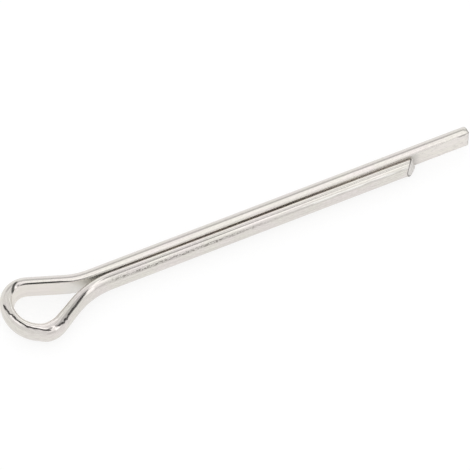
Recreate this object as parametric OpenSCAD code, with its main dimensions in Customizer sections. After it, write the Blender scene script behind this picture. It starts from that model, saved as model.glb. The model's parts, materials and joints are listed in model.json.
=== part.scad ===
// Cotter pin, extended-prong square-cut pattern: one length of half-round steel wire, bent back on
// itself so that its flats face each other. The bend leaves a lopsided teardrop eye, and the two legs
// close into a round split shank. The pin lies on its side: +Z is up, and the wire stays in one level.
// The origin is on the shank's axis, where the short leg comes back onto it under the eye, and +X runs
// along the shank towards the tips. The long leg's rounded back faces +Y and the short leg's faces -Y.

/* [Wire] */
// Diameter of the closed shank, both legs together
shank_d = 3.05; // [2.2:0.05:4.0]
// Slit between the two flats
slit = 0.06; // [0.04:0.01:0.20]
// Rounding of the long edges between the flat and the back
edge_r = 0.15; // [0.08:0.01:0.30]

/* [Legs] */
// Short leg, from the origin to its tip, along the flat
short_leg = 37.1; // [10:0.1:120]
// How far the long leg runs past the short one
prong = 6.8; // [1:0.1:15]
// Slant of the shear cut across the short leg's tip
tip_slant = 42; // [0:1:45]
// Bevel on the upper corner of the short leg's tip
tip_bevel = 0.8; // [0.2:0.1:1.2]

/* [Eye, long leg's side] */
// Bend radius where the long leg leaves the shank
long_neck_r = 9; // [3:0.05:12]
// Angle at which the long leg leaves the shank
long_flare = 19.5; // [12:0.5:30]
// Straight run up the long leg's side of the eye
long_run = 4.35; // [2:0.05:9]
// Bend radius at the far shoulder of the eye
shoulder_r = 1.45; // [0.6:0.05:2.5]
// Angle turned at the far shoulder
shoulder_turn = 89; // [75:1:105]

/* [Eye, crown and short leg's side] */
// Bend radius of the crown, the far end of the eye
crown_r = 3.3; // [2.5:0.05:6]
// Angle turned round the crown
crown_turn = 90.5; // [75:0.5:105]
// Bend radius of the corner between the crown and the short leg's side
corner_r = 1.5; // [0.6:0.05:2.5]
// Angle at which the short leg leaves the shank
short_flare = 32; // [24:0.5:45]
// Bend radius where the short leg leaves the shank
short_neck_r = 9.8; // [4:0.1:12]

/* [Hidden] */
$fn = 144;
wire_r = shank_d / 2;
// Bending upsets the wire: the tight bends and the necks are this much fuller all round
swell = 0.01;
// How far the plain stretches are carried into the fuller ones
lap = 0.05;
// The tip's bevel leans back from the upright by this angle
bevel_lean = 45;

// The eye is walked as the wire is bent, from the long leg round to the short leg. A stretch is
// ["run", length] or ["bend", radius, angle], and a bend away from the eye has both its numbers
// negative. A place is [x, y, turn], where turn is the angle from +X to the wire's rounded back.
function after(place, stretch) =
    stretch[0] == "run"
    ? [place[0] - stretch[1] * sin(place[2]), place[1] + stretch[1] * cos(place[2]), place[2]]
    : let (radius = stretch[1], turn = place[2] + stretch[2])
      [place[0] + radius * (cos(turn) - cos(place[2])),
       place[1] + radius * (sin(turn) - sin(place[2])), turn];
function places(start, route) =
    [for (i = 0, p = start; i <= len(route); p = i < len(route) ? after(p, route[i]) : p, i = i + 1) p];

// What the shoulder and the crown leave of the eye's whole turn is the last corner's
corner_turn = 180 + long_flare + short_flare - shoulder_turn - crown_turn;
to_crown = [
    ["bend", -long_neck_r, -long_flare],
    ["run", long_run],
    ["bend", shoulder_r, shoulder_turn],
    ["bend", crown_r, crown_turn],
    ["bend", corner_r, corner_turn]
];
past_crown = places([0, 0, 90], to_crown)[len(to_crown)];
// The run down the short leg's side is as long as it takes to come back onto the shank's axis
short_rise = short_neck_r * (1 - cos(short_flare));
short_run = (-past_crown[1] - short_rise) / sin(short_flare);
eye_route = concat(to_crown, [["run", short_run], ["bend", -short_neck_r, -short_flare]]);
eye_places = places([0, 0, 90], eye_route);
// Distance from the long leg's first bend to the origin
neck_step = eye_places[len(eye_route)][0];

// Centre of the rounding circle, which touches the flat and the back from inside
edge_x = slit / 2 + edge_r;
edge_y = sqrt(pow(wire_r - edge_r, 2) - pow(edge_x, 2));

// What the rounding takes off the upper long edge
module edge_waste(full) {
    back_r = wire_r + full;
    past_back = 1.3 * back_r / (wire_r - edge_r);
    difference() {
        polygon([[edge_x, edge_y], [-back_r, edge_y], [-back_r, past_back * edge_y],
                 [past_back * edge_x, past_back * edge_y]]);
        translate([edge_x, edge_y]) circle(r = edge_r + full);
    }
}

// The half-round wire: its flat stands half a slit off the shank's axis, and its back is on the shank
module wire_section(full) {
    back_r = wire_r + full;
    difference() {
        circle(r = back_r);
        translate([-2 * back_r, -back_r]) square([2 * back_r + slit / 2 - full, 2 * back_r]);
        edge_waste(full);
        mirror([0, 1]) edge_waste(full);
    }
}

// A straight stretch, from the local origin along +Y with its back to +X
module run(length, full = 0, over = 0) {
    translate([0, length + over, 0])
        rotate([90, 0, 0])
            linear_extrude(length + 2 * over) wire_section(full);
}

// A bend with the flat inside it, or, with a negative radius, with the back inside it
module bend(radius, angle, full = 0, over = 0) {
    inside_out = radius < 0 ? 1 : 0;
    over_angle = over / abs(radius) * 180 / PI;
    translate([-radius, 0, 0])
        mirror([inside_out, 0, 0])
            rotate(-over_angle)
                rotate_extrude(angle = abs(angle) + 2 * over_angle)
                    translate([abs(radius), 0])
                        mirror([inside_out, 0])
                            wire_section(full);
}

// The long leg, cut off square at its tip
module long_leg() {
    tip = neck_step + short_leg + prong;
    translate([tip, 0, 0])
        rotate(90)
            run(tip + lap);
}

// The eye, from one neck to the other
module eye() {
    for (i = [0 : len(eye_route) - 1]) {
        stretch = eye_route[i];
        full = i % 2 == 0 ? swell : 0;
        over = i % 2 == 0 ? 0 : lap;
        translate([eye_places[i][0], eye_places[i][1], 0])
            rotate(eye_places[i][2])
                if (stretch[0] == "run") run(stretch[1], full, over);
                else bend(stretch[1], stretch[2], full, over);
    }
}

// The short leg, sheared off at a slant that leaves its back shorter than its flat, and bevelled
// at the upper corner
module short_leg_run() {
    blade = 4 * wire_r;
    difference() {
        translate([neck_step - lap, 0, 0]) rotate(-90) run(short_leg + lap);
        translate([neck_step + short_leg, -slit / 2, 0])
            rotate(-tip_slant)
                translate([0, -blade / 2, -blade / 2])
                    cube(blade);
        translate([neck_step + short_leg, -blade / 2, wire_r - tip_bevel])
            rotate([0, -bevel_lean, 0])
                cube(blade);
    }
}

module cotter_pin() {
    color([0.80, 0.80, 0.79])
        translate([-neck_step, 0, 0]) {
            long_leg();
            eye();
            short_leg_run();
        }
}

cotter_pin();
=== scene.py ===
import json
import math

import bpy
import numpy as np
from mathutils import Matrix, Vector


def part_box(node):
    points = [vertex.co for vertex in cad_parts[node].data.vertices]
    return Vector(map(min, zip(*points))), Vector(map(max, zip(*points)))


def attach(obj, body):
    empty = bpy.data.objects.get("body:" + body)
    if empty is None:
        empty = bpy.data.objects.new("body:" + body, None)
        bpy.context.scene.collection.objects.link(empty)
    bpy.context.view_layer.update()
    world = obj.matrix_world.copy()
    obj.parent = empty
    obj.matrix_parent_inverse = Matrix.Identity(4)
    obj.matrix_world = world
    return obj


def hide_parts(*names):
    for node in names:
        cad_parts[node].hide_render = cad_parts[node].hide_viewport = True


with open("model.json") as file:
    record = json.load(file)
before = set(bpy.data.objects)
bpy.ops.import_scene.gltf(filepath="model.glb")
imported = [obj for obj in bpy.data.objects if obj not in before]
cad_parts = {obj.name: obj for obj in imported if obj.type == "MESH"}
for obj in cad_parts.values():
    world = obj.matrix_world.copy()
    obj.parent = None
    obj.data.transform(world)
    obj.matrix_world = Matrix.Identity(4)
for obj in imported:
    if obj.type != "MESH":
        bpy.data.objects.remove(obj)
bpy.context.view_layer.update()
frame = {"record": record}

# ---------------------------------------------------------------------------
# Camera. It looks down on the pin from the short leg's side, turned a little
# towards the tips, through a long lens that keeps the two legs parallel.
# ---------------------------------------------------------------------------
MM = 0.001
pin_low, pin_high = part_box("cotter_pin")
look_down = math.radians(62.34)
look_aside = math.radians(18.56)
camera_roll = math.radians(-4.34)
camera_distance = 447 * MM
view_width = 52.55 * MM
sensor_width = 36.0
aim_behind_tip = 28.91 * MM
aim_aside = -0.816 * MM
aim = Vector((pin_high[0] - aim_behind_tip, aim_aside, 0.0))

forward = Vector((math.cos(look_down) * math.sin(look_aside),
                  math.cos(look_down) * math.cos(look_aside),
                  -math.sin(look_down)))
level_right = Vector((math.cos(look_aside), -math.sin(look_aside), 0.0))
level_up = level_right.cross(forward)
right = math.cos(camera_roll) * level_right + math.sin(camera_roll) * level_up
up = math.cos(camera_roll) * level_up - math.sin(camera_roll) * level_right

camera_data = bpy.data.cameras.new("camera")
camera_data.sensor_width = sensor_width
camera_data.lens = sensor_width * camera_distance / view_width
camera_data.clip_start = 0.01
camera_data.clip_end = 100.0
camera = bpy.data.objects.new("camera", camera_data)
camera.matrix_world = Matrix.Translation(aim - camera_distance * forward) @ Matrix(
    (right, up, -forward)).transposed().to_4x4()
bpy.context.collection.objects.link(camera)
bpy.context.scene.camera = camera

# ---------------------------------------------------------------------------
# The wire. One length of half-round steel wire, drawn, bent round a former
# into the eye and pressed shut, then cropped: square at the long tip, at a
# slant at the short one. It is bright zinc plated after forming.
# ---------------------------------------------------------------------------
shank = frame["record"]["mounts"][0]
back_r = shank["dims"]["r_mm"] * MM
half_slit = 0.03 * MM
edge_r = 0.12 * MM
long_tip = pin_high[0]
short_tip = 37.1 * MM
tip_slant = math.radians(42)
tip_bevel = 0.8 * MM
crop_edge = 0.10 * MM
burr = 0.12 * MM

# The bends, from the long leg round to the short one: radius and angle, the
# outward bends negative, with the straight runs between them as (length, 0).
flare_long, flare_short = 19.5, 32.0
shoulder_turn, crown_turn = 89.0, 90.5
corner_turn = 180 + flare_long + flare_short - shoulder_turn - crown_turn
eye_bends = [(-9.0, -flare_long), (4.35, 0), (1.45, shoulder_turn), (3.3, crown_turn),
             (1.5, corner_turn)]
short_neck_r = 9.8


def bend_end(x, y, turn, size, angle):
    """Where a run or a bend that starts at x, y ends; turn is the angle of the wire's back."""
    start, end = math.radians(turn), math.radians(turn + angle)
    if angle == 0:
        return x - size * math.sin(start), y + size * math.cos(start), turn
    return (x + size * (math.cos(end) - math.cos(start)),
            y + size * (math.sin(end) - math.sin(start)), turn + angle)


# The last run is as long as it takes the short leg to come back onto the shank
place = (0.0, 0.0, 90.0)
for size, angle in eye_bends:
    place = bend_end(*place, size, angle)
short_rise = short_neck_r * (1 - math.cos(math.radians(flare_short)))
eye_bends.append(((-place[1] - short_rise) / math.sin(math.radians(flare_short)), 0))
eye_bends.append((-short_neck_r, -flare_short))
place = (0.0, 0.0, 90.0)
for size, angle in eye_bends:
    place = bend_end(*place, size, angle)
neck_step = place[0] * MM

lengths = [long_tip + neck_step]
turns = [0.0]
for size, angle in eye_bends:
    lengths.append(size * MM if angle == 0 else abs(math.radians(angle) * size) * MM)
    turns.append(math.radians(angle))
lengths.append(short_tip)
turns.append(0.0)
joints_at = np.concatenate([[0.0], np.cumsum(lengths)])

# Real wire doesn't change its curve at a line, so the bends are eased into
# each other over a few tenths of a millimetre.
step = 0.05 * MM
ease = 0.30 * MM
along_fine = np.linspace(0, joints_at[-1], int(round(joints_at[-1] / step)) + 1)
step = along_fine[1]
heading = np.interp(along_fine, joints_at, np.pi + np.concatenate([[0.0], np.cumsum(turns)]))
eases_out = 4
reach = int(eases_out * ease / step)
weight = np.exp(-0.5 * (np.arange(-reach, reach + 1) * step / ease) ** 2)
heading = np.convolve(np.pad(heading, reach, mode="edge"), weight / weight.sum(), "valid")
middle = (heading[1:] + heading[:-1]) / 2
centre = np.zeros((len(along_fine), 2))
centre[1:] = np.cumsum(np.stack([np.cos(middle), np.sin(middle)], 1) * step, axis=0)
centre[:, 0] += long_tip
# The easing cuts each corner a little; the eye takes the difference up evenly.
miss = centre[-1] - (short_tip, 0.0)
share = np.clip((along_fine - joints_at[1]) / (joints_at[-2] - joints_at[1]), 0, 1)
centre -= (share ** 2 * (3 - 2 * share))[:, None] * miss
back = np.stack([np.sin(heading), -np.cos(heading)], 1)


def smooth(x, low, high):
    """0 up to low, 1 from high on, eased in between."""
    f = np.clip((x - low) / (high - low), 0, 1)
    return f * f * (3 - 2 * f)


def at(stretch, share=0.0):
    """A place along the wire, share of the way through a stretch."""
    return joints_at[stretch] + share * (joints_at[stretch + 1] - joints_at[stretch])


# What drawing and bending did to the half round, place by place along the wire,
# in mm: how far the flat stands off the slit's middle at its lower and its upper
# edge, how round its upper inner edge is, how much the back is stretched thin
# (or pushed out, where negative), and how wide a bevel the former left and, in
# degrees round from the back, which way it faces.
worn_section = [
    # long leg
    (0.0, 0.03, -0.10, 0.07, 0.0, 0.0, 124),
    (at(0, 0.13), 0.03, -0.11, 0.07, 0.0, 0.0, 124),
    (at(0, 0.20), 0.03, -0.12, 0.07, 0.0, 0.0, 124),
    (at(0, 0.3), 0.03, -0.15, 0.07, 0.0, 0.0, 124),
    (at(0, 0.5), 0.03, -0.16, 0.07, 0.0, 0.0, 124),
    (at(0, 0.8), 0.03, -0.15, 0.07, 0.0, 0.0, 124),
    # long neck
    (at(1, 0.6), 0.03, -0.02, 0.10, 0.0, 0.06, 124),
    # long leg's run into the eye
    (at(2, 0.1), 0.03, 0.03, 0.10, 0.0, 0.17, 124),
    # shoulder
    (at(3, 0.2), 0.03, 0.03, 0.10, 0.0, 0.18, 121),
    (at(3, 0.5), 0.03, 0.03, 0.12, 0.0, 0.20, 117),
    (at(3, 0.9), 0.03, 0.03, 0.14, 0.02, 0.20, 115),
    # crown
    (at(4, 0.1), 0.03, 0.03, 0.16, 0.04, 0.08, 115),
    (at(4, 0.5), -0.04, 0.02, 0.38, 0.12, 0.0, 124),
    (at(4, 0.93), -0.14, -0.14, 0.58, 0.14, 0.0, 124),
    # corner
    (at(5, 0.2), -0.14, -0.14, 0.60, -0.06, 0.0, 124),
    (at(5, 0.6), -0.14, -0.14, 0.58, -0.10, 0.0, 124),
    # short leg's run out of the eye
    (at(6, 0.1), -0.05, 0.04, 0.50, -0.09, 0.0, 124),
    (at(6, 0.6), 0.03, 0.15, 0.42, -0.03, 0.0, 124),
    # short neck
    (at(7, 0.2), 0.05, 0.18, 0.38, 0.0, 0.0, 124),
    # short leg
    (at(8), 0.04, 0.13, 0.38, 0.0, 0.0, 124),
    (at(8, 0.25), 0.04, 0.19, 0.38, 0.0, 0.0, 124),
    (at(8, 0.55), 0.04, 0.24, 0.38, 0.0, 0.0, 124),
    (at(8, 0.78), 0.04, 0.25, 0.38, 0.0, 0.0, 124),
    (at(8, 0.93), 0.04, 0.27, 0.38, 0.0, 0.0, 124),
    (joints_at[-1], 0.04, 0.30, 0.38, 0.0, 0.0, 124),
]
station = [row[0] for row in worn_section]

# How many points go over the back, the top edge, the bevel, into the flat, down
# the flat and round the lower edge, each counting the ends it shares with the next
back_points, top_points, bevel_points, into_flat_points, flat_points, low_points = 60, 7, 4, 6, 16, 8
least_edge_r = 0.02 * MM
least_bevel = 0.01 * MM


def wire_section(along, inset=0.0):
    """Points round the half-round wire as [out of the back, up], from the lower edge up over the
    back, and how far round the wire each lies from the back's middle."""
    flat_low, flat_top, top_edge_r, thinned, bevel = (
        np.interp(along, station, [row[k] for row in worn_section]) * MM for k in range(1, 6))
    bevel = max(bevel, least_bevel)
    bevel_turn = math.radians(np.interp(along, station, [row[6] for row in worn_section]))
    radius = back_r - inset
    low_edge_r = max(edge_r - inset, least_edge_r)
    top_edge_r = max(top_edge_r - inset, least_edge_r)
    lean = math.atan2(flat_top - flat_low, 2 * back_r)
    low_edge = np.array([flat_low + inset, -math.sqrt(radius ** 2 - (flat_low + inset) ** 2)])
    inward = np.array([math.cos(lean), -math.sin(lean)])
    upward = np.array([math.sin(lean), math.cos(lean)])
    bevel_run = -bevel * np.array([math.sin(bevel_turn), -math.cos(bevel_turn)])
    off_low = inward @ low_edge + low_edge_r
    off_top = inward @ low_edge + top_edge_r - inward @ bevel_run
    bottom = off_low * inward - math.sqrt((radius - low_edge_r) ** 2 - off_low ** 2) * upward
    top = off_top * inward + math.sqrt((radius - top_edge_r) ** 2 - off_top ** 2) * upward
    top_turn, low_turn = math.atan2(top[1], top[0]), math.atan2(bottom[1], bottom[0])
    flat_turn = math.pi - lean
    turns_back = np.linspace(low_turn, top_turn, back_points)
    turns_top = np.linspace(top_turn, bevel_turn, top_points)[1:]
    turns_flat = np.linspace(bevel_turn, flat_turn, into_flat_points)
    turns_low = np.linspace(flat_turn, low_turn + 2 * math.pi, low_points)[:-1]
    over_back = radius * np.stack([np.cos(turns_back), np.sin(turns_back)], 1)
    over_top = top + top_edge_r * np.stack([np.cos(turns_top), np.sin(turns_top)], 1)
    bevelled = over_top[-1] + np.linspace(0, 1, bevel_points)[1:-1, None] * bevel_run
    into_flat = top + bevel_run + top_edge_r * np.stack(
        [np.cos(turns_flat), np.sin(turns_flat)], 1)
    over_low = bottom + low_edge_r * np.stack([np.cos(turns_low), np.sin(turns_low)], 1)
    down = np.linspace(0, 1, flat_points)[1:-1, None]
    flat = into_flat[-1] + (over_low[0] - into_flat[-1]) * down
    points = np.concatenate([over_back, over_top, bevelled, into_flat, flat, over_low])
    around = np.concatenate([[0.0], np.cumsum(np.linalg.norm(np.diff(points, axis=0), axis=1))])
    points[:, 0] *= 1 - thinned / back_r
    return points, around - around[back_points // 2]


# Rings stand close together in the bends and at the short tip, wider on the
# straight legs
eye_margin = 1.5 * MM
tip_zone = 3.5 * MM
eye_gap, tip_gap, leg_gap = 0.10, 0.15, 0.5
ring_at = [crop_edge]
while ring_at[-1] < joints_at[-1] - crop_edge:
    in_eye = joints_at[1] - eye_margin < ring_at[-1] < joints_at[-2] + eye_margin
    near_tip = ring_at[-1] > joints_at[-1] - tip_zone
    ring_at.append(ring_at[-1] + (eye_gap if in_eye else tip_gap if near_tip else leg_gap) * MM)
ring_at[-1] = joints_at[-1] - crop_edge

# How far back from the short tip the shear pulled the wire and the burr shows,
# how fast the burr grows below the middle, and how far ahead it hangs
shear_reach = 3 * MM
burr_reach = 0.45 * MM
burr_growth = 1.5
burr_ahead = 1.5
rings, ring_along, ring_around = [], [], []


def add_ring(along, inset):
    """One ring of the wire's skin; near the short tip it slides back to the slant of the shears."""
    points, around = wire_section(along, inset)
    middle_xy = np.array([np.interp(along, along_fine, centre[:, k]) for k in (0, 1)])
    out = np.array([np.interp(along, along_fine, back[:, k]) for k in (0, 1)])
    out /= np.linalg.norm(out)
    ahead = np.array([-out[1], out[0]])
    sheared = smooth(along, joints_at[-1] - shear_reach, joints_at[-1] - crop_edge)
    slanted = (points[:, 0] - half_slit) * math.tan(tip_slant)
    bevelled = points[:, 1] - (back_r - tip_bevel)
    slide = -sheared * np.maximum(slanted, bevelled)
    # The shears left a small burr outwards and ahead below the cut
    torn_out = burr * smooth(along, joints_at[-1] - burr_reach, joints_at[-1] - crop_edge)
    below = np.clip(-burr_growth * points[:, 1] / back_r, 0, 1)
    torn_out = torn_out * below * (points[:, 0] > 3 * half_slit)
    points[:, 0] += torn_out
    slide += burr_ahead * torn_out
    flat_xy = middle_xy + points[:, :1] * out + slide[:, None] * ahead
    rings.append(np.column_stack([flat_xy, points[:, 1]]))
    ring_along.append(along + slide)
    ring_around.append(around)


add_ring(0.0, crop_edge)
for along in ring_at:
    add_ring(along, 0.0)
add_ring(joints_at[-1], crop_edge)

around_count = len(rings[0])
points = np.concatenate(rings)
faces = []
for i in range(len(rings) - 1):
    for k in range(around_count):
        n = (k + 1) % around_count
        faces.append((i * around_count + k, (i + 1) * around_count + k,
                      (i + 1) * around_count + n, i * around_count + n))
skin_faces = len(faces)
# The long tip is one flat cut; the short tip's slant and bevel meet in a ridge
last = (len(rings) - 1) * around_count
tip_ring = rings[-1]
# The ridge runs from the nearest point on the back to the nearest one down the
# flat, which leaves out the flat's two ends and its topmost point
over_back = range(back_points)
low_start = around_count - (low_points - 1)
down_flat = range(low_start - (flat_points - 3), low_start)
ridge_height = back_r - tip_bevel
ridge_flat = min(down_flat, key=lambda k: abs(tip_ring[k, 2] - ridge_height))
ridge_back = min(over_back, key=lambda k: abs(
    tip_ring[k, 2] - ridge_height - (-tip_ring[k, 1] - half_slit) * math.tan(tip_slant)))
faces.append(tuple(range(around_count)))
faces.append(tuple(last + k for k in range(ridge_flat, ridge_back - 1, -1)))
faces.append(tuple(last + k % around_count
                   for k in range(around_count + ridge_back, ridge_flat - 1, -1)))
cut_faces = len(faces) - skin_faces

mesh = bpy.data.meshes.new("bent_wire")
mesh.from_pydata(points.tolist(), [], faces)
mesh.attributes.new("along", "FLOAT", "POINT").data.foreach_set(
    "value", np.concatenate(ring_along).astype(np.float32))
mesh.attributes.new("around", "FLOAT", "POINT").data.foreach_set(
    "value", np.concatenate(ring_around).astype(np.float32))
mesh.polygons.foreach_set("use_smooth", [True] * skin_faces + [False] * cut_faces)
# The rims of the two cuts, first and last band of the skin, are sheared edge
plated, cut, rim = 0, 1, 2
one_rim = [rim] * around_count
skin_finish = one_rim + [plated] * (skin_faces - 2 * around_count) + one_rim
mesh.polygons.foreach_set("material_index", skin_finish + [cut] * cut_faces)
mesh.update()
mesh.validate()
wire = bpy.data.objects.new("bent_wire", mesh)
bpy.context.collection.objects.link(wire)

plate = bpy.data.materials.new("bright_zinc_plate")
plate.use_nodes = True
tree = plate.node_tree
shader = tree.nodes["Principled BSDF"]


def marks(tree, name):
    """How far along the wire, or round it from the back's middle, a point lies, in metres."""
    node = tree.nodes.new("ShaderNodeAttribute")
    node.attribute_name = name
    return node.outputs["Fac"]


def wire_noise(tree, along_scale, around_scale, detail, seed, distortion=0.0):
    """Noise laid on the wire: scales are turns per mm along it and round it."""
    place = tree.nodes.new("ShaderNodeCombineXYZ")
    for socket, name, scale in (("X", "along", along_scale), ("Y", "around", around_scale)):
        stretch = tree.nodes.new("ShaderNodeMath")
        stretch.operation = "MULTIPLY"
        stretch.inputs[1].default_value = scale / MM
        tree.links.new(marks(tree, name), stretch.inputs[0])
        tree.links.new(stretch.outputs[0], place.inputs[socket])
    place.inputs["Z"].default_value = seed
    noise = tree.nodes.new("ShaderNodeTexNoise")
    noise.inputs["Scale"].default_value = 1.0
    noise.inputs["Detail"].default_value = detail
    noise.inputs["Distortion"].default_value = distortion
    tree.links.new(place.outputs[0], noise.inputs["Vector"])
    return noise.outputs["Fac"]


def between(tree, value, low, high, to_low=0.0, to_high=1.0):
    """value carried from low..high to to_low..to_high, eased at both ends."""
    node = tree.nodes.new("ShaderNodeMapRange")
    node.interpolation_type = "SMOOTHSTEP"
    for socket, number in (("From Min", low), ("From Max", high),
                           ("To Min", to_low), ("To Max", to_high)):
        node.inputs[socket].default_value = number
    tree.links.new(value, node.inputs["Value"])
    return node.outputs["Result"]


def product(tree, *values):
    """All the values multiplied together."""
    result = values[0]
    for value in values[1:]:
        node = tree.nodes.new("ShaderNodeMath")
        node.operation = "MULTIPLY"
        tree.links.new(result, node.inputs[0])
        tree.links.new(value, node.inputs[1])
        result = node.outputs[0]
    return result


def larger(tree, first, second):
    """The larger of two values."""
    node = tree.nodes.new("ShaderNodeMath")
    node.operation = "MAXIMUM"
    tree.links.new(first, node.inputs[0])
    tree.links.new(second, node.inputs[1])
    return node.outputs[0]


def colour_mix(tree, factor, first, second):
    """first where factor is 0 and second where it is 1; each is a colour or a socket."""
    node = tree.nodes.new("ShaderNodeMix")
    node.data_type = "RGBA"
    tree.links.new(factor, node.inputs["Factor"])
    for socket, colour in (("A", first), ("B", second)):
        target = next(s for s in node.inputs if s.name == socket and s.type == "RGBA")
        if isinstance(colour, tuple):
            target.default_value = colour
        else:
            tree.links.new(colour, target)
    return next(s for s in node.outputs if s.type == "RGBA")


def lengthwise(low, high):
    """0 to 1 along the plated wire from low to high, either way round."""
    return between(tree, marks(tree, "along"), low, high)


def crosswise(low, high):
    """0 to 1 round the plated wire from low to high, in mm from the back's middle."""
    return between(tree, marks(tree, "around"), low * MM, high * MM)


# Drawn wire is lined lengthwise; the plate over it is clouded faintly warm and
# cool, and finely specked
draw_lines = wire_noise(tree, 0.10, 9.0, 3.0, 0.0)
clouds = wire_noise(tree, 0.30, 0.8, 2.0, 5.0)
specks = wire_noise(tree, 2.2, 6.0, 3.0, 37.0)
# A line of small torn scuffs runs from the short neck down the short leg's back
scuff_line = product(tree, crosswise(1.10, 1.22), crosswise(1.50, 1.38),
                     lengthwise(at(7, 0.7), at(8, 0.05)), lengthwise(at(8, 0.60), at(8, 0.32)))
torn = between(tree, wire_noise(tree, 3.0, 8.0, 3.0, 11.0, 1.5), 0.48, 0.57)
scuffs = product(tree, scuff_line, torn)
# The flat of the prong is rubbed in patches; near its tip a thin dark line of painted shade runs
# along the flat's top edge
flat_of_prong = product(tree, crosswise(2.2, 2.5), lengthwise(7.4 * MM, 6.4 * MM))
rubbed = between(tree, wire_noise(tree, 0.9, 2.6, 4.0, 17.0, 2.0), 0.56, 0.66)
rubs = product(tree, flat_of_prong, rubbed)
flat_edge_shade = product(tree, crosswise(2.26, 2.34), crosswise(2.60, 2.48),
               lengthwise(0.25 * MM, 0.55 * MM), lengthwise(1.60 * MM, 1.00 * MM))
# Past the scuffs the same line is burnished bright
burnished = product(tree, crosswise(1.22, 1.34), crosswise(1.58, 1.48),
                    lengthwise(at(8, 0.50), at(8, 0.68)),
                    between(tree, wire_noise(tree, 0.5, 4.0, 2.0, 41.0), 0.35, 0.60))
# A painted dark reflection at the shoulder, standing for the dark strip its bevel mirrors, drifts
# from the top of the back to the inner edge
drift = between(tree, marks(tree, "along"), at(3, 0.20), at(3, 0.78), 1.72 * MM, 2.42 * MM)
off_mark = tree.nodes.new("ShaderNodeMath")
off_mark.operation = "SUBTRACT"
tree.links.new(marks(tree, "around"), off_mark.inputs[0])
tree.links.new(drift, off_mark.inputs[1])
shoulder_dark_reflection = product(tree, between(tree, off_mark.outputs[0], -0.26 * MM, -0.08 * MM),
                between(tree, off_mark.outputs[0], 0.26 * MM, 0.08 * MM),
                lengthwise(at(3, 0.20), at(3, 0.32)), lengthwise(at(3, 0.85), at(3, 0.66)),
                between(tree, wire_noise(tree, 2.4, 3.0, 3.0, 43.0), 0.15, 0.45))

# The back is drawn bright; the flat, rolled and pressed on its fellow, is matt
# and paler, with a warm cast
warm_silver, cool_silver = (0.80, 0.75, 0.73, 1), (0.78, 0.765, 0.70, 1)
silver_line, silver_speck = (0.60, 0.57, 0.54, 1), (0.60, 0.56, 0.53, 1)
warm_matt, cool_matt = (0.92, 0.87, 0.83, 1), (0.91, 0.875, 0.81, 1)
matt_line, fork_grey = (0.74, 0.70, 0.66, 1), (0.88, 0.865, 0.83, 1)
scuff_dark, rub_grey = (0.26, 0.24, 0.22, 1), (0.76, 0.72, 0.69, 1)
burnished_white = (0.96, 0.94, 0.90, 1)
# The last two colours are painted: shade for the line along the prong flat's top edge, and a dark
# reflection for the shoulder
flat_edge_shade_dark, reflection_dark = (0.40, 0.38, 0.36, 1), (0.10, 0.10, 0.09, 1)

on_flat = crosswise(2.38, 2.52)
silver = colour_mix(tree, between(tree, clouds, 0.35, 0.65), warm_silver, cool_silver)
silver = colour_mix(tree, between(tree, draw_lines, 0.3, 0.7, 0.0, 0.55), silver, silver_line)
silver = colour_mix(tree, between(tree, specks, 0.35, 0.70, 0.0, 0.50), silver, silver_speck)
matt_zinc = colour_mix(tree, between(tree, clouds, 0.35, 0.65), warm_matt, cool_matt)
matt_zinc = colour_mix(tree, between(tree, draw_lines, 0.3, 0.7, 0.0, 0.45), matt_zinc, matt_line)
# In the fork of the eye the flats are greyer
fork = larger(
    tree, product(tree, lengthwise(at(0, 0.88), at(0, 0.96)), lengthwise(at(2, 0.3), at(1, 0.5))),
    product(tree, lengthwise(at(7, 0.2), at(7, 0.8)), lengthwise(at(8, 0.25), at(8, 0.05))))
matt_zinc = colour_mix(tree, fork, matt_zinc, fork_grey)
silver = colour_mix(tree, on_flat, silver, matt_zinc)
# The plate inside the slit is dull, and dullest towards the short tip
short_end = product(tree, on_flat, larger(
    tree, lengthwise(at(8, 0.55), at(8, 0.97)),
    product(tree, lengthwise(at(0, 0.50), at(0, 0.20)), lengthwise(at(0, 0.12), at(0, 0.17)))))
flat_dullness, tip_dullness = 0.25, 0.75
dullness = tree.nodes.new("ShaderNodeMath")
dullness.operation = "MULTIPLY_ADD"
dullness.inputs[1].default_value = tip_dullness
tree.links.new(short_end, dullness.inputs[0])
tree.links.new(between(tree, on_flat, 0.0, 1.0, 0.0, flat_dullness), dullness.inputs[2])
tree.links.new(between(tree, dullness.outputs[0], 0.0, 1.0, 1.0, 0.0), shader.inputs["Metallic"])
# Over the colour go the scuffs, rubs and burnish, then the painted edge shade and the painted
# shoulder reflection
for mark, mark_colour in ((scuffs, scuff_dark), (rubs, rub_grey), (burnished, burnished_white),
                          (flat_edge_shade, flat_edge_shade_dark), (shoulder_dark_reflection, reflection_dark)):
    silver = colour_mix(tree, mark, silver, mark_colour)
tree.links.new(silver, shader.inputs["Base Color"])

# Scuffs and flats are rougher than the drawn back
rough = larger(tree, between(tree, draw_lines, 0.3, 0.7, 0.08, 0.17),
               between(tree, scuffs, 0.0, 1.0, 0.0, 0.45))
rough = larger(tree, rough, between(tree, on_flat, 0.0, 1.0, 0.0, 0.34))
tree.links.new(rough, shader.inputs["Roughness"])

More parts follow.
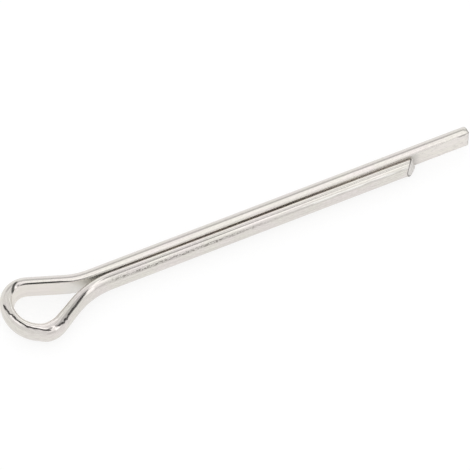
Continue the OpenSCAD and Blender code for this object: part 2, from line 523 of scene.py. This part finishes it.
# The eye is uneven where the former gripped it
gripped = product(tree, between(tree, marks(tree, "along"), at(3, 0.3), at(3, 0.9)),
                  between(tree, marks(tree, "along"), at(6, 0.9), at(6, 0.2)))
dented = product(tree, gripped, wire_noise(tree, 1.25, 0.7, 1.0, 31.0))
dent_bump = tree.nodes.new("ShaderNodeBump")
dent_bump.inputs["Strength"].default_value = 1.0
dent_bump.inputs["Distance"].default_value = 0.07 * MM
dent_bump.invert = True
tree.links.new(dented, dent_bump.inputs["Height"])
line_bump = tree.nodes.new("ShaderNodeBump")
line_bump.inputs["Strength"].default_value = 0.25
line_bump.inputs["Distance"].default_value = 0.01 * MM
tree.links.new(draw_lines, line_bump.inputs["Height"])
tree.links.new(dent_bump.outputs[0], line_bump.inputs["Normal"])
scuff_bump = tree.nodes.new("ShaderNodeBump")
scuff_bump.inputs["Strength"].default_value = 0.6
scuff_bump.inputs["Distance"].default_value = 0.03 * MM
scuff_bump.invert = True
scuff_depth = tree.nodes.new("ShaderNodeMath")
scuff_depth.operation = "ADD"
tree.links.new(scuffs, scuff_depth.inputs[0])
tree.links.new(rubs, scuff_depth.inputs[1])
tree.links.new(scuff_depth.outputs[0], scuff_bump.inputs["Height"])
tree.links.new(line_bump.outputs[0], scuff_bump.inputs["Normal"])
tree.links.new(scuff_bump.outputs[0], shader.inputs["Normal"])
mesh.materials.append(plate)

# The two cuts are bare steel, grained by the shears
cropped = bpy.data.materials.new("cropped_steel")
cropped.use_nodes = True
cropped_tree = cropped.node_tree
cropped_shader = cropped_tree.nodes["Principled BSDF"]
cropped_shader.inputs["Metallic"].default_value = 1.0
where = cropped_tree.nodes.new("ShaderNodeTexCoord")
torn_grain = cropped_tree.nodes.new("ShaderNodeMapping")
torn_grain.inputs["Scale"].default_value = (1.5 / MM, 7.0 / MM, 1.0 / MM)
cropped_tree.links.new(where.outputs["Object"], torn_grain.inputs["Vector"])
grain = cropped_tree.nodes.new("ShaderNodeTexNoise")
grain.inputs["Scale"].default_value = 1.0
grain.inputs["Detail"].default_value = 4.0
cropped_tree.links.new(torn_grain.outputs[0], grain.inputs["Vector"])
cut_light, cut_dark = (0.76, 0.73, 0.70, 1), (0.62, 0.60, 0.57, 1)
grain_cloud = between(cropped_tree, grain.outputs["Fac"], 0.35, 0.65)
cropped_tree.links.new(colour_mix(cropped_tree, grain_cloud, cut_light, cut_dark),
                       cropped_shader.inputs["Base Color"])
cropped_tree.links.new(between(cropped_tree, grain.outputs["Fac"], 0.3, 0.7, 0.28, 0.42),
                       cropped_shader.inputs["Roughness"])
grain_bump = cropped_tree.nodes.new("ShaderNodeBump")
grain_bump.inputs["Strength"].default_value = 0.4
grain_bump.inputs["Distance"].default_value = 0.02 * MM
cropped_tree.links.new(grain.outputs["Fac"], grain_bump.inputs["Height"])
cropped_tree.links.new(grain_bump.outputs[0], cropped_shader.inputs["Normal"])
mesh.materials.append(cropped)

# Their rims are painted dark, as shade along the edges of the cuts, mottled by noise
sheared_rim = bpy.data.materials.new("sheared_rim")
sheared_rim.use_nodes = True
rim_tree = sheared_rim.node_tree
rim_shader = rim_tree.nodes["Principled BSDF"]
rim_shader.inputs["Metallic"].default_value = 1.0
rim_shader.inputs["Roughness"].default_value = 0.35
rim_mottle = wire_noise(rim_tree, 2.0, 2.5, 3.0, 23.0)
rim_shade_dark, rim_shade_pale = (0.20, 0.19, 0.18, 1), (0.42, 0.40, 0.38, 1)
rim_tree.links.new(colour_mix(rim_tree, between(rim_tree, rim_mottle, 0.35, 0.65), rim_shade_dark, rim_shade_pale),
                   rim_shader.inputs["Base Color"])
mesh.materials.append(sheared_rim)

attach(wire, "root")
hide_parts("cotter_pin")

# ---------------------------------------------------------------------------
# Floor. A wide pale studio floor that the pin lies on, painted a flat grey.
# Where it is seen, straight or mirrored in the plate, it glows up to white.
# ---------------------------------------------------------------------------
floor_r = 30.0
floor_z = pin_low[2]
floor_grey = 0.27
floor_glow = 0.78
floor_mesh = bpy.data.meshes.new("studio_floor")
floor_mesh.from_pydata([(-floor_r, -floor_r, floor_z), (floor_r, -floor_r, floor_z),
                        (floor_r, floor_r, floor_z), (-floor_r, floor_r, floor_z)],
                       [], [(0, 1, 2, 3)])
floor = bpy.data.objects.new("studio_floor", floor_mesh)
bpy.context.collection.objects.link(floor)
floor_paint = bpy.data.materials.new("pale_floor")
floor_paint.use_nodes = True
tree = floor_paint.node_tree
tree.nodes.clear()
seen = tree.nodes.new("ShaderNodeLightPath")
either = tree.nodes.new("ShaderNodeMath")
either.operation = "MAXIMUM"
all_seen = tree.nodes.new("ShaderNodeMath")
all_seen.operation = "MAXIMUM"
tree.links.new(seen.outputs["Is Camera Ray"], either.inputs[0])
tree.links.new(seen.outputs["Is Glossy Ray"], either.inputs[1])
tree.links.new(either.outputs[0], all_seen.inputs[0])
tree.links.new(seen.outputs["Is Transmission Ray"], all_seen.inputs[1])
glow_level = tree.nodes.new("ShaderNodeMath")
glow_level.operation = "MULTIPLY"
glow_level.inputs[1].default_value = floor_glow
tree.links.new(all_seen.outputs[0], glow_level.inputs[0])
glow = tree.nodes.new("ShaderNodeEmission")
tree.links.new(glow_level.outputs[0], glow.inputs["Strength"])
paint = tree.nodes.new("ShaderNodeBsdfDiffuse")
paint.inputs["Color"].default_value = (floor_grey, floor_grey, floor_grey, 1)
both = tree.nodes.new("ShaderNodeAddShader")
tree.links.new(paint.outputs[0], both.inputs[0])
tree.links.new(glow.outputs[0], both.inputs[1])
out = tree.nodes.new("ShaderNodeOutputMaterial")
tree.links.new(both.outputs[0], out.inputs["Surface"])
floor_mesh.materials.append(floor_paint)

# ---------------------------------------------------------------------------
# Studio light. A pale room that lights the pin softly from all round, with
# brighter soft panels and a few dark cards, which give the metal its bands.
# ---------------------------------------------------------------------------
world = bpy.data.worlds.new("studio")
bpy.context.scene.world = world
world.use_nodes = True
tree = world.node_tree
tree.nodes.clear()


def math_node(operation, a, b=None, c=None):
    """One step of reckoning on the room's light; each value is a number or a socket."""
    node = tree.nodes.new("ShaderNodeMath")
    node.operation = operation
    for socket, value in zip(node.inputs, (a, b, c)):
        if value is None:
            continue
        if isinstance(value, (int, float)):
            socket.default_value = value
        else:
            tree.links.new(value, socket)
    return node.outputs[0]


direction = tree.nodes.new("ShaderNodeTexCoord")
turned = tree.nodes.new("ShaderNodeVectorRotate")
turned.rotation_type = "Z_AXIS"
turned.inputs["Angle"].default_value = look_aside
tree.links.new(direction.outputs["Generated"], turned.inputs["Vector"])
parts = tree.nodes.new("ShaderNodeSeparateXYZ")
tree.links.new(turned.outputs[0], parts.inputs[0])
height = math_node("DEGREES", math_node("ARCSINE", parts.outputs["Z"]))
# Bearing is 0 straight ahead of the camera, +90 to its right, +-180 behind it
bearing = math_node("DEGREES", math_node("ARCTAN2", parts.outputs["X"], parts.outputs["Y"]))


def falloff(value, centre_at, half, soft):
    """1 within half of centre_at, easing to 0 over the next soft degrees."""
    away = math_node("ABSOLUTE", math_node("SUBTRACT", value, centre_at))
    node = tree.nodes.new("ShaderNodeMapRange")
    node.interpolation_type = "SMOOTHSTEP"
    node.inputs["From Min"].default_value = half
    node.inputs["From Max"].default_value = half + soft
    node.inputs["To Min"].default_value = 1.0
    node.inputs["To Max"].default_value = 0.0
    tree.links.new(away, node.inputs["Value"])
    return node.outputs["Result"]


# name, bearing, half width, height, half height, soft edges across and up, level
panels = [
    ("back_low", 0, 40, 15, 5, 10, 6, 0.66),
    ("back_panel", 8, 18, 44, 16, 14, 5, 1.28),
    ("front_high", -145, 55, 76, 13, 14, 5, 1.50),
    ("front_mid", 150, 20, 33, 6, 10, 6, 1.08),
    ("front_low", 150, 18, 13, 3, 10, 5, 0.80),
    ("front_panel", 152, 10, 44, 4, 8, 5, 1.42),
    ("corner_panel", 127, 5, 26, 10, 4, 6, 1.50),
    ("corner_panel_high", 131, 4, 58, 12, 4, 8, 1.50),
    ("front_dim", 146, 5, 60, 6, 4, 5, 0.42),
    ("left_panel", -110, 10, 38, 8, 8, 8, 1.35),
    ("right_grey", 108, 10, 38, 8, 6, 10, 0.62),
]
# The tent's open front edge shows as a dark strip that climbs from the right,
# passes under the lens and falls away on the left: bearing, height
edge_right = [(98, -5), (108, 17), (113, 23), (118, 31), (122, 36)]
edge_left = [(156, 44), (165, 46), (180, 49), (210, 52), (222, 50), (250, 53), (258, 52)]
edge_far = [(256, 53), (262, 51), (272, 36), (284, 12), (290, -5)]
# name, line, half width, soft edge, soft end
edge_strips = [
    ("edge_right", edge_right, 8, 7, 3),
    ("edge_left", edge_left, 6, 5, 4),
    ("edge_far", edge_far, 9, 6, 3),
]
room_level = 0.93
edge_level = 0.05


def blend_level(level, part, value, name):
    """The room's brightness with one panel or strip laid over it."""
    mix = tree.nodes.new("ShaderNodeMix")
    mix.label = name
    tree.links.new(part, mix.inputs["Factor"])
    if isinstance(level, float):
        mix.inputs["A"].default_value = level
    else:
        tree.links.new(level, mix.inputs["A"])
    mix.inputs["B"].default_value = value
    return mix.outputs["Result"]


level = room_level
for (name, at_bearing, half_bearing, at_height, half_height,
     soft_bearing, soft_height, value) in panels:
    across = bearing
    if abs(at_bearing) > 90:
        # measured from the back, so that a panel may straddle +-180
        across = math_node("WRAP", bearing, at_bearing + 180, at_bearing - 180)
    part = math_node("MULTIPLY", falloff(across, at_bearing, half_bearing, soft_bearing),
                     falloff(height, at_height, half_height, soft_height))
    level = blend_level(level, part, value, name)

# A curve's two sides run from 0 to 1, so the bearing is counted once round from
# 60 degrees and the height over 100 degrees from 10 below the floor's level
first_bearing, whole_turn = 60, 360
lowest, height_span = 10, 100
from_right = math_node("WRAP", bearing, first_bearing + whole_turn, first_bearing)
for name, line, half, soft, soft_end in edge_strips:
    curve = tree.nodes.new("ShaderNodeFloatCurve")
    curve_points = curve.mapping.curves[0].points
    places = [((at_bearing - first_bearing) / whole_turn, (at_height + lowest) / height_span)
              for at_bearing, at_height in line]
    curve_points[0].location, curve_points[1].location = places[0], places[-1]
    for place_on_line in places[1:-1]:
        curve_points.new(*place_on_line)
    for point in curve_points:
        point.handle_type = "VECTOR"
    curve.mapping.update()
    tree.links.new(math_node("DIVIDE", math_node("SUBTRACT", from_right, first_bearing), whole_turn),
                   curve.inputs["Value"])
    line_height = math_node("SUBTRACT", math_node("MULTIPLY", curve.outputs[0], height_span), lowest)
    start, end = line[0][0], line[-1][0]
    part = math_node("MULTIPLY", falloff(from_right, (start + end) / 2, (end - start) / 2, soft_end),
                     falloff(math_node("SUBTRACT", height, line_height), 0, half, soft))
    level = blend_level(level, part, edge_level, name)
light = tree.nodes.new("ShaderNodeBackground")
light.inputs["Color"].default_value = (1, 1, 1, 1)
tree.links.new(level, light.inputs["Strength"])
out = tree.nodes.new("ShaderNodeOutputWorld")
tree.links.new(light.outputs[0], out.inputs["Surface"])

bpy.context.scene.view_settings.view_transform = "Standard"
